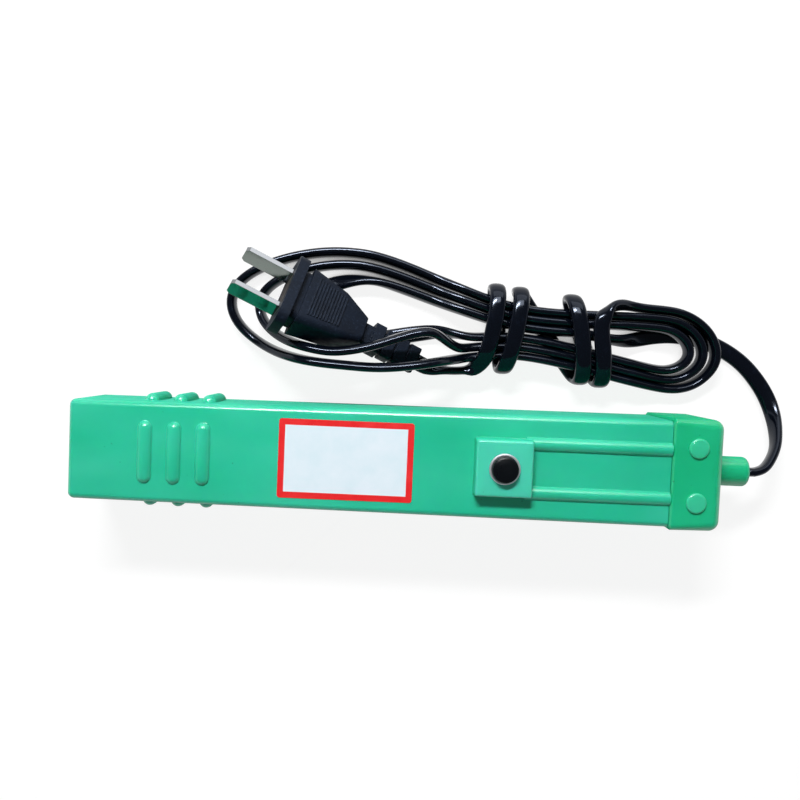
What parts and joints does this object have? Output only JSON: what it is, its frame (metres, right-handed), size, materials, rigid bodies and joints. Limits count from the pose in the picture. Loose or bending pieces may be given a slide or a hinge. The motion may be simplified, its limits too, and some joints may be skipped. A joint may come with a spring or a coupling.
{
  "type": "degaussing coil",
  "caption": "Hand-held demagnetising bar: square ribbed case with a sprung push button, a cap with a cord spigot, and a flat twin mains lead with its plug, tied in a hank.",
  "frame": {"origin": "middle of the case's length and width, on the surface that it lies on", "axes": "+X along the case from the nose to the cord spigot, +Z out of the button face, +Y towards the hank"},
  "size_m": [0.2159, 0.0811, 0.0387],
  "materials": {
    "green_plastic": "semi-gloss moulded",
    "cap_plastic": "semi-gloss moulded",
    "label_paper": "smooth print with a red border",
    "bezel_chrome": "bright plated",
    "spring_steel": "bright wire",
    "button_plastic": "glossy moulded",
    "contact_brass": "bare",
    "switch_plastic": "matt moulded",
    "base_plastic": "matt moulded",
    "core_steel": "rolled",
    "bobbin_plastic": "matt moulded",
    "coil_wire": "enamelled wire",
    "coil_tape": "varnished tape",
    "wire_brown": "smooth",
    "wire_black": "smooth",
    "wire_blue": "smooth",
    "cord_black": "glossy extruded",
    "plug_plastic": "matt moulded",
    "blade_metal": "nickel plated"
  },
  "bodies": {
    "bar": {"case_tube": "green_plastic", "end_cap": "cap_plastic", "cap_rivets": "green_plastic", "label": "label_paper", "switch_bezel": "bezel_chrome", "return_spring": "spring_steel", "switch_body": "switch_plastic", "switch_base": "base_plastic", "switch_terminals": "contact_brass", "core_laminations": "core_steel", "bobbin": "bobbin_plastic", "coil_winding": "coil_wire", "coil_tape": "coil_tape", "coil_retainer": "bobbin_plastic", "wire_live": "wire_brown", "wire_switched": "wire_black", "wire_neutral": "wire_blue", "splice_sleeves": "switch_plastic", "cord_inner": "cord_black", "cord_stop": "plug_plastic", "cord_lead": "cord_black", "cord_loops": "cord_black", "cord_wraps": "cord_black", "cord_tail": "cord_black", "plug_body": "plug_plastic", "plug_insert": "base_plastic", "plug_blades": "blade_metal"},
    "push_button": {"button": "button_plastic", "contact_bridge": "contact_brass"}
  },
  "joints": [
    {"name": "button_press", "type": "slide", "parent": "bar", "child": "push_button", "axis": [0, 0, -1], "range_m": [0, 0.0018], "stiffness_N_per_m": 400, "springref_m": -0.002, "deforming": ["return_spring"]}
  ]
}
